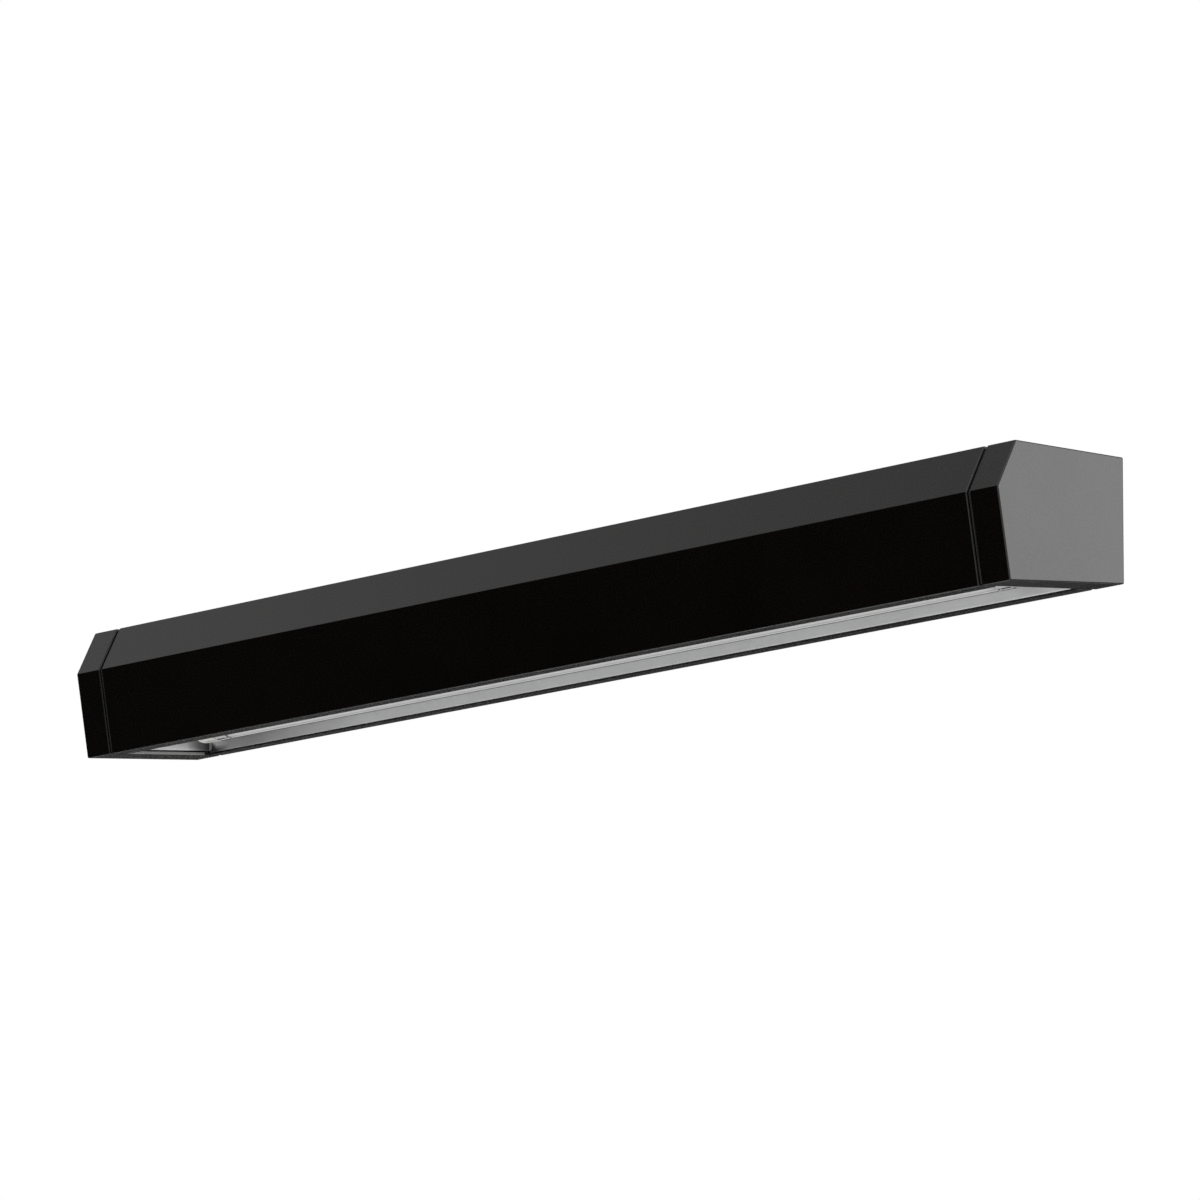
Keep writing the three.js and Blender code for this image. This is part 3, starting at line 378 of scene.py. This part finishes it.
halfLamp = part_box("lamp_cap_right")[1].x
plateLow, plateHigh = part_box("end_reflector_left")
sheetThickness = 0.6 * mm
plateCorner = Vector((plateLow.x + sheetThickness, plateHigh.y - sheetThickness))
finishes = {
    # The satin black's last argument paints light on the caps' inner faces across the opening
    "satin_black": painted(
        "satinBlack", (0.0011, 0.0004, 0.0001), (0.0017, 0.0007, 0.0002), 0.27, 0.9, 0.012, paintedEdgeLightMask,
    ),
    "white_steel": painted("whiteSteel", (0.72, 0.72, 0.69), (0.80, 0.80, 0.77), 0.42, 1.4, 0.02),
    "black_rubber": rubber("blackRubber"),
    "hammered_aluminium": hammeredMetal("hammeredAluminium", plateCorner),
    "zinc_steel": zincPlate("zincSteel"),
    "screw_steel": bareMetal("screwSteel", grey(0.44), grey(0.60), 0.32, (0.5, 0.5, 0.12), 0.006),
    "black_screw": bareMetal("blackScrew", grey(0.03), grey(0.06), 0.4, (0.5, 0.5, 0.12), 0.006),
    "lamp_aluminium": bareMetal(
        "lampAluminium", (0.33, 0.335, 0.34), (0.42, 0.42, 0.425), 0.12, (0.15, 3, 3), 0.002,
    ),
    "brass": bareMetal("plainBrass", (0.52, 0.37, 0.15), (0.70, 0.52, 0.24), 0.28, (3, 0.15, 0.15), 0.004),
    "white_plastic": moulded("whitePlastic", (0.67, 0.665, 0.64), (0.75, 0.745, 0.715), 0.36),
    "grey_plastic": moulded("greyPlastic", (0.40, 0.41, 0.42), (0.48, 0.49, 0.50), 0.48),
    "circuit_board": circuitBoard("circuitBoard"),
    "lamp_glass": lampGlass("lampGlass", halfLamp),
    "earth_insulation": insulation("earthInsulation", (0.03, 0.24, 0.03), (0.74, 0.62, 0.03)),
    "live_insulation": insulation("liveInsulation", (0.14, 0.05, 0.02)),
    "neutral_insulation": insulation("neutralInsulation", (0.03, 0.12, 0.36)),
    "white_insulation": insulation("whiteInsulation", (0.68, 0.67, 0.63)),
    "red_insulation": insulation("redInsulation", (0.42, 0.02, 0.015)),
}
slots = {part["node"]: part["material_slot"] for part in frame["record"]["subparts"]}
print("finishes made:", len(finishes))


# An object from a shape, in one material
def objectFrom(name, shape, material):
    mesh = bpy.data.meshes.new(name)
    shape.to_mesh(mesh)
    shape.free()
    mesh.materials.append(material)
    made = bpy.data.objects.new(name, mesh)
    bpy.context.scene.collection.objects.link(made)
    return made


# A finished piece: its mesh, its finish, the body it moves with and the node it stands for
def finishPiece(name, shape, node, body, sharpAngle=crispAngle, weighted=True):
    piece = objectFrom(name, shape, finishes[slots[node]])
    piece.data.shade_smooth()
    piece.data.set_sharp_from_angle(angle=math.radians(sharpAngle))
    if weighted:
        normals = piece.modifiers.new("faceNormals", "WEIGHTED_NORMAL")
        normals.keep_sharp = True
        normals.weight = 100
    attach(piece, body)
    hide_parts(node)
    return piece


# The node's solid with its loose triangles joined back into whole flat faces
def wholeCopy(node):
    shape = bmesh.new()
    shape.from_mesh(frame["nodes"][node].data)
    bmesh.ops.remove_doubles(shape, verts=shape.verts, dist=joinGap)
    bmesh.ops.dissolve_degenerate(shape, edges=shape.edges, dist=joinGap)
    bmesh.ops.dissolve_limit(
        shape, angle_limit=math.radians(flatAngle), verts=shape.verts, edges=shape.edges,
        use_dissolve_boundaries=False, delimit={"NORMAL"},
    )
    return shape


# Bevels the edges that are crisper than the crisp angle
def breakEdges(shape, width):
    crisp = [
        edge for edge in shape.edges
        if edge.is_manifold and math.degrees(edge.calc_face_angle()) > crispAngle
    ]
    bmesh.ops.bevel(
        shape, geom=crisp, offset=width * mm, offset_type="OFFSET", segments=2,
        profile=0.5, affect="EDGES", clamp_overlap=True, material=-1,
    )


# The node's own solid, with its edges broken where a width is given
def keepNode(node, body, edgeWidth=0, sharpAngle=crispAngle):
    shape = wholeCopy(node)
    if edgeWidth:
        breakEdges(shape, edgeWidth)
    return finishPiece(node + "_piece", shape, node, body, sharpAngle)


# A profile of (reach along the axis, radius) in millimetres, spun round the X axis
def spun(profile, steps=48, rounding=0):
    shape = bmesh.new()
    points = [shape.verts.new((reach * mm, 0, radius * mm)) for reach, radius in profile]
    for first, second in zip(points, points[1:]):
        shape.edges.new((first, second))
    if rounding:
        bmesh.ops.bevel(
            shape, geom=points[1:-1], offset=rounding * mm, offset_type="OFFSET", segments=3,
            profile=0.5, affect="VERTICES", clamp_overlap=True, material=-1,
        )
    bmesh.ops.spin(
        shape, geom=shape.verts[:] + shape.edges[:], cent=(0, 0, 0), axis=(1, 0, 0),
        angle=math.tau, steps=steps, use_merge=True, use_duplicate=False,
    )
    bmesh.ops.remove_doubles(shape, verts=shape.verts, dist=joinGap / 2)
    return shape


axisTurns = {
    "x": Matrix.Identity(4),
    "y": Matrix.Rotation(math.radians(90), 4, "Z"),
    "z": Matrix.Rotation(math.radians(-90), 4, "Y"),
}


# Turns a shape from the X axis to another, flips it if the sign is -1, and puts it in its place
def settle(shape, centre, axis="x", sign=1):
    turn = Matrix.Translation(centre) @ axisTurns[axis] @ Matrix.Diagonal((sign, 1, 1, 1))
    bmesh.ops.transform(shape, matrix=turn, verts=shape.verts)
    bmesh.ops.recalc_face_normals(shape, faces=shape.faces)
    return shape


# The black bar: its long housing, two end caps and the gaskets between them
bar = {"gasketEdge": 0.1, "facetAngle": 20}
keepNode("housing", fixed, sharpAngle=bar["facetAngle"])
for side in ends:
    keepNode(f"end_cap_{side}", fixed, sharpAngle=bar["facetAngle"])
    keepNode(f"cap_gasket_{side}", fixed, bar["gasketEdge"])
print("bar made")

# The hammered sheets: the trough's inside, and the inner face of each end plate
hammering = {
    "step": 0.9, "cell": 2.3, "depth": 0.03, "roll": 5, "ridge": 0.55, "sharpAngle": 40,
    "reach": 1.0, "bend": 0.8, "plateFrom": 265, "plateArea": 100,
    "endOn": 0.5, "level": 0.8, "squareOn": 0.9,
}
cutGap = 0.01 * mm


# How far a face reaches along an axis
def farthest(face, axis):
    return max(vert.co[axis] for vert in face.verts)


# Cuts faces into strips across one axis, from low to high, and gives back all the strips
def sliced(shape, faces, axis):
    low = min(vert.co[axis] for face in faces for vert in face.verts)
    high = max(farthest(face, axis) for face in faces)
    count = max(1, round((high - low) / (hammering["step"] * mm)))
    across = Vector([float(index == axis) for index in range(3)])
    strips = []
    rest = list(faces)
    for cut in range(1, count):
        place = low + (high - low) * cut / count
        edges = list({edge for face in rest for edge in face.edges})
        verts = list({vert for face in rest for vert in face.verts})
        made = bmesh.ops.bisect_plane(
            shape, geom=rest + edges + verts, dist=cutGap, plane_co=across * place, plane_no=across,
        )
        both = [part for part in made["geom"] if isinstance(part, bmesh.types.BMFace)]
        limit = place + 2 * cutGap
        strips += [face for face in both if farthest(face, axis) < limit]
        rest = [face for face in both if farthest(face, axis) >= limit]
    return strips + rest


# Beats shallow pits into faces: a pit in the middle of each cell and a soft ridge round it
def beaten(faces):
    inside = set(faces)
    verts = {vert for face in faces for vert in face.verts}
    free = [vert for vert in verts if all(face in inside for face in vert.link_faces)]
    moves = []
    for vert in free:
        vert.normal_update()
        spot = vert.co / (hammering["cell"] * mm)
        near, far = noise.voronoi(spot)[0][:2]
        ridge = 1 - min(1, (far - near) / hammering["ridge"])
        roll = noise.noise(spot / hammering["roll"])
        lift = ridge * ridge * (3 - 2 * ridge) + 0.5 * roll + 0.5
        moves.append((vert, vert.normal * hammering["depth"] * mm * lift))
    for vert, move in moves:
        vert.co += move


# The faces that look into the space between two corners
def facesTowards(shape, low, high):
    reach = hammering["reach"] * mm
    chosen = []
    for face in shape.faces:
        probe = face.calc_center_median() + face.normal * reach
        if all(low[axis] < probe[axis] < high[axis] for axis in range(3)):
            chosen.append(face)
    return chosen


def makeReflector():
    shape = wholeCopy("reflector")
    low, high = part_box("reflector")
    bend = hammering["bend"] * mm
    inner = facesTowards(
        shape, (low.x - bend, low.y + bend, low.z + bend), (high.x + bend, high.y - bend, high.z - bend),
    )
    inner = [face for face in inner if abs(face.normal.x) < hammering["endOn"]]
    walls = [face for face in inner if abs(face.normal.z) < hammering["level"]]
    roof = [face for face in inner if abs(face.normal.z) >= hammering["level"]]
    strips = sliced(shape, walls, 2) + sliced(shape, roof, 1)
    beaten(sliced(shape, strips, 0))
    finishPiece("hammered_reflector", shape, "reflector", fixed, hammering["sharpAngle"], weighted=False)


def makeEndPlate(side, sign):
    node = f"end_reflector_{side}"
    shape = wholeCopy(node)
    start = hammering["plateFrom"] * mm
    area = hammering["plateArea"] * mm * mm
    inner = [
        face for face in shape.faces
        if face.normal.x * sign < -hammering["squareOn"]
        and abs(face.calc_center_median().x) > start and face.calc_area() > area
    ]
    beaten(sliced(shape, sliced(shape, inner, 2), 1))
    finishPiece(f"hammered_end_{side}", shape, node, fixed, hammering["sharpAngle"], weighted=False)


makeReflector()
for side, sign in ends.items():
    makeEndPlate(side, sign)
print("hammered sheets made")

# The lamp: glass drawn in a little before its caps, two pressed caps and four round-tipped pins
lamp = {
    "steps": 72, "glassRounding": 0.5, "glassAngle": 60,
    "capRounding": 0.12, "capAngle": 50, "pinSteps": 24, "pinRounding": 0.25,
    "glass": [(-8.9, 7.9), (-8.1, 7.35), (-2, 7.35), (0, 5.5), (0, 0)],
    "cap": [
        (-0.7, 0), (-0.7, 6.9), (-1.2, 7.5), (-8.4, 7.5), (-8.5, 7.6), (-8.5, 7.85), (-8.35, 8.0),
        (-7.1, 8.0), (-6.8, 7.84), (-6.5, 8.0), (-1.0, 8.0), (-0.4, 7.75), (0, 7.1), (0, 0),
    ],
    "pin": [(-3, 0), (-3, 1.15), (6.7, 1.15), (7.1, 0.75), (7.1, 0)],
}
lampLow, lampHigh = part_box("lamp_tube")
lampAxis = Vector((0, (lampLow.y + lampHigh.y) / 2, (lampLow.z + lampHigh.z) / 2))


def makeLamp():
    half = [(reach + lampHigh.x / mm, radius) for reach, radius in lamp["glass"]]
    profile = [(-reach, radius) for reach, radius in reversed(half)] + half
    glass = settle(spun(profile, lamp["steps"], lamp["glassRounding"]), lampAxis)
    finishPiece("lamp_glass", glass, "lamp_tube", turning, lamp["glassAngle"])
    for side, sign in ends.items():
        place = lampAxis + Vector((sign * halfLamp, 0, 0))
        shape = settle(spun(lamp["cap"], lamp["steps"], lamp["capRounding"]), place, "x", sign)
        finishPiece(f"lamp_end_{side}", shape, f"lamp_cap_{side}", turning, lamp["capAngle"])
        for row in ("front", "back"):
            node = f"lamp_pin_{side}_{row}"
            low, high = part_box(node)
            place = Vector((sign * halfLamp, (low.y + high.y) / 2, (low.z + high.z) / 2))
            shape = settle(spun(lamp["pin"], lamp["pinSteps"], lamp["pinRounding"]), place, "x", sign)
            finishPiece(node + "_piece", shape, node, turning, lamp["capAngle"])


makeLamp()
print("lamp made")

# The lampholders, the discs that turn in them and their contacts
holder = {"edge": 0.35, "discEdge": 0.15, "leafEdge": 0.05}
for side in ends:
    keepNode(f"lampholder_{side}", fixed, holder["edge"])
    keepNode(f"rotor_{side}", turning, holder["discEdge"])
    for row in ("front", "back"):
        keepNode(f"contact_{side}_{row}", fixed, holder["leafEdge"])
print("lampholders made")

# Screws with a cross recess: the head's shape from its seat to its top, and the shank
screw = {
    "steps": 32, "shank": 1.5, "tip": 0.3, "recessReach": 1.5, "recessHalf": 0.35, "recessDepth": 0.8,
    "terminalEdge": 0.06,
    "pan": [(0, 2.75), (0.8, 2.75), (1.25, 2.6), (1.6, 2.25), (1.9, 1.75)],
    "flat": [(1.5, 2.75)],
}
screwPlaces = {
    "cap_screw": ("flat", "y", 1), "lock_screw": ("pan", "y", -1), "tray_screw": ("pan", "y", -1),
    "reflector_screw": ("pan", "z", -1), "ballast_screw": ("pan", "z", 1),
    "terminal_block_screw": ("pan", "z", 1),
}


# A screw whose head comes to the top of its node, with a cross pressed into it
def makeScrew(node, kind, axis, sign):
    low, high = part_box(node)
    along = "xyz".index(axis)
    head = screw[kind]
    top = head[-1][0]
    length = (high[along] - low[along]) / mm - top
    shape = spun([
        (-length, 0), (-length, screw["shank"] - screw["tip"]), (screw["tip"] - length, screw["shank"]),
        (0, screw["shank"]), *head,
    ], screw["steps"])
    rim = [edge for edge in shape.edges if edge.is_boundary]
    reach, half = screw["recessReach"] * mm, screw["recessHalf"] * mm
    arm = [(reach, -half), (reach, half), (half, half)]
    outline = []
    for turn in range(4):
        spin = Matrix.Rotation(turn * math.tau / 4, 2)
        outline += [shape.verts.new((top * mm, *(spin @ Vector(corner)))) for corner in arm]
    cross = [shape.edges.new(pair) for pair in zip(outline, outline[1:] + outline[:1])]
    bmesh.ops.bridge_loops(shape, edges=rim + cross)
    walls = bmesh.ops.extrude_edge_only(shape, edges=cross)["geom"]
    lower = [part for part in walls if isinstance(part, bmesh.types.BMVert)]
    floor = [part for part in walls if isinstance(part, bmesh.types.BMEdge)]
    bmesh.ops.translate(shape, vec=(-screw["recessDepth"] * mm, 0, 0), verts=lower)
    bmesh.ops.contextual_create(shape, geom=floor)
    seat = (low + high) / 2
    seat[along] = (high[along] if sign > 0 else low[along]) - sign * top * mm
    finishPiece(node + "_piece", settle(shape, seat, axis, sign), node, fixed)


for node in frame["nodes"]:
    for family, (kind, axis, sign) in screwPlaces.items():
        if node.startswith(family):
            makeScrew(node, kind, axis, sign)
for pole in ("earth", "live", "neutral"):
    keepNode(f"terminal_screw_{pole}", fixed, screw["terminalEdge"])
print("screws made")

# The wall plate, and the rubber ring round the supply cable's way in
wallSide = {
    "plateEdge": 0.15,
    "ring": [(0, 3.5), (0, 6.9), (1.4, 6.9), (1.4, 5.1), (3.7, 5.1), (3.7, 6.9), (5.1, 6.9), (5.1, 3.5)],
}


def makeGrommet():
    low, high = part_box("cable_grommet")
    place = Vector(((low.x + high.x) / 2, low.y, (low.z + high.z) / 2))
    ring = wallSide["ring"]
    shape = spun(ring + ring[:1])
    finishPiece("cable_ring", settle(shape, place, "y"), "cable_grommet", fixed)


keepNode("wall_plate", fixed, wallSide["plateEdge"])
makeGrommet()

# The control gear above the reflector: how much each piece's edges are broken
gear = {
    "gear_tray": 0.1, "ballast_base": 0.1, "ballast_cover": 0.25, "ballast_board": 0.08,
    "ballast_mains_terminal": 0.3, "ballast_lamp_terminal": 0.3, "terminal_block": 0.35,
    "wire_clip_near": 0.2, "wire_clip_far": 0.2, "earth_stud": 0.05, "earth_nut": 0.12,
}
for node, width in gear.items():
    keepNode(node, fixed, width)


# Wires, rounded from their straight-sided solids
wire = {"joinAngle": math.radians(60), "sharpAngle": 70, "rounds": 1}


def makeWire(node):
    shape = wholeCopy(node)
    bmesh.ops.join_triangles(
        shape, faces=shape.faces, angle_face_threshold=wire["joinAngle"],
        angle_shape_threshold=wire["joinAngle"],
    )
    piece = finishPiece(node + "_piece", shape, node, fixed, wire["sharpAngle"], weighted=False)
    smoothing = piece.modifiers.new("roundness", "SUBSURF")
    smoothing.levels = smoothing.render_levels = wire["rounds"]


for node in frame["nodes"]:
    if "_lead_" in node or node.endswith("_wire"):
        makeWire(node)
print("gear and wires made")

# The studio, in metres: a pale floor, soft lamps, dark cards that the gloss shows, and white beyond
studio = {
    "middle": (0, -0.03, 0), "ambient": 0.62,
    "floorLevel": -5.0, "floorHalf": 40, "floorTones": (0.82, 0.8282),
    "lamps": {
        "sideLamp": {"from": (1.52, 1.26, 0.34), "size": (1.0, 1.6), "power": 18.5},
        "topLamp": {"from": (-1.2, -1.0, 2.2), "size": (1.6, 1.6), "power": 20},
        "lowLamp": {"from": (0.6, -1.6, -1.7), "size": (1.2, 0.8), "power": 12},
    },
    "cards": {
        "frontCard": {"from": (-1.45, -1.25, -0.42), "size": (3.6, 2.7), "level": (0.0, 0.03)},
        "upperCard": {"from": (-1.5, -0.55, 1.3), "size": (3.0, 1.4), "level": (0.207, 0.65)},
        "backCard": {"from": (-1.9, 1.42, 0.376), "size": (5.0, 2.3), "level": (0.0, 0.01), "along": True},
        "lineCard": {"from": (-1.9, 1.06, -1.033), "size": (5.0, 0.39), "level": (0.0, 0.0), "along": True},
        "sideCard": {"from": (1.5, 1.13, -0.66), "size": (2.0, 0.7), "level": (0.3, 0.3)},
    },
}


# One for the kinds of ray named, and nought for the rest
def seenBy(finish, *kinds):
    total = sum(finish.add("ShaderNodeLightPath", output=kinds))
    return finish.add("ShaderNodeMath", {"operation": "MINIMUM"}, {0: total, 1: 1.0})


# The turn that points a lamp or a card at its target
def aimed(place, target=studio["middle"]):
    return (Vector(place) - Vector(target)).to_track_quat("Z", "Y").to_euler()


def makeFloor():
    finish = Finish("paleFloor")
    dark, light = (grey(level) for level in studio["floorTones"])
    matt = finish.add("ShaderNodeBsdfPrincipled", {}, {
        "Base Color": finish.tones(finish.grain(900, 2), (0.3, dark), (0.7, light)),
        "Roughness": 0.9, "Specular IOR Level": 0.2,
    })
    white = finish.add("ShaderNodeEmission", {}, {"Color": (1, 1, 1, 1), "Strength": 1.0})
    mirrored = seenBy(finish, "Is Glossy Ray", "Is Transmission Ray")
    both = finish.add("ShaderNodeMixShader", {}, {0: mirrored, 1: matt, 2: white})
    finish.add("ShaderNodeOutputMaterial", {}, {"Surface": both})
    shape = bmesh.new()
    bmesh.ops.create_grid(shape, x_segments=1, y_segments=1, size=studio["floorHalf"])
    bmesh.ops.translate(shape, vec=(0, 0, studio["floorLevel"]), verts=shape.verts)
    objectFrom("paleFloor", shape, finish.made)


# A card that only gloss shows, in an even tone or running from one tone to another along its length
def makeCard(name, place, size, level, along):
    finish = Finish(name)
    share = finish.add("ShaderNodeMapRange", {}, {
        "Value": finish.apart("X")[0], "From Min": place[0] - 0.5, "From Max": place[0] + 0.5,
        "To Min": level[1], "To Max": level[0],
    })
    glow = finish.add("ShaderNodeEmission", {}, {"Color": share, "Strength": 1.0})
    finish.add("ShaderNodeOutputMaterial", {}, {"Surface": glow})
    shape = bmesh.new()
    bmesh.ops.create_grid(shape, x_segments=1, y_segments=1, size=0.5)
    bmesh.ops.scale(shape, vec=(*size, 1), verts=shape.verts)
    middle = studio["middle"]
    target = (place[0], *middle[1:]) if along else middle
    turn = Matrix.Translation(place) @ aimed(place, target).to_matrix().to_4x4()
    bmesh.ops.transform(shape, matrix=turn, verts=shape.verts)
    card = objectFrom(name, shape, finish.made)
    card.visible_camera = False
    card.visible_diffuse = False
    card.visible_shadow = False


def makeLamps():
    for name, setting in studio["lamps"].items():
        light = bpy.data.lights.new(name, "AREA")
        light.shape = "RECTANGLE"
        light.size, light.size_y = setting["size"]
        light.energy = setting["power"]
        stand = bpy.data.objects.new(name, light)
        stand.location = setting["from"]
        stand.rotation_euler = aimed(setting["from"])
        stand.visible_camera = False
        bpy.context.scene.collection.objects.link(stand)


def makeSky():
    world = bpy.data.worlds.new("studioAir")
    bpy.context.scene.world = world
    sky = Finish("studioAir", world)
    soft = sky.add("ShaderNodeBackground", {}, {"Color": (1, 1, 1, 1), "Strength": studio["ambient"]})
    white = sky.add("ShaderNodeBackground", {}, {"Color": (1, 1, 1, 1), "Strength": 1.0})
    direct = seenBy(sky, "Is Camera Ray", "Is Glossy Ray", "Is Transmission Ray")
    both = sky.add("ShaderNodeMixShader", {}, {0: direct, 1: soft, 2: white})
    sky.add("ShaderNodeOutputWorld", {}, {"Surface": both})


makeFloor()
for name, setting in studio["cards"].items():
    makeCard(name, setting["from"], setting["size"], setting["level"], setting.get("along", False))
makeLamps()
makeSky()

# The camera stands low at the front right and looks up at the bar
viewpoint = {"place": (2.75944, -2.33667, -0.61683), "turn": (99.798, -0.082, 49.945), "lens": 261.66}
eye = bpy.data.objects.new("camera", bpy.data.cameras.new("camera"))
eye.data.sensor_width = 36
eye.data.lens = viewpoint["lens"]
eye.location = viewpoint["place"]
eye.rotation_euler = [math.radians(angle) for angle in viewpoint["turn"]]
eye.data.clip_end = 100
bpy.context.scene.collection.objects.link(eye)
bpy.context.scene.camera = eye
bpy.context.scene.view_settings.view_transform = "Standard"
print("studio and camera made")
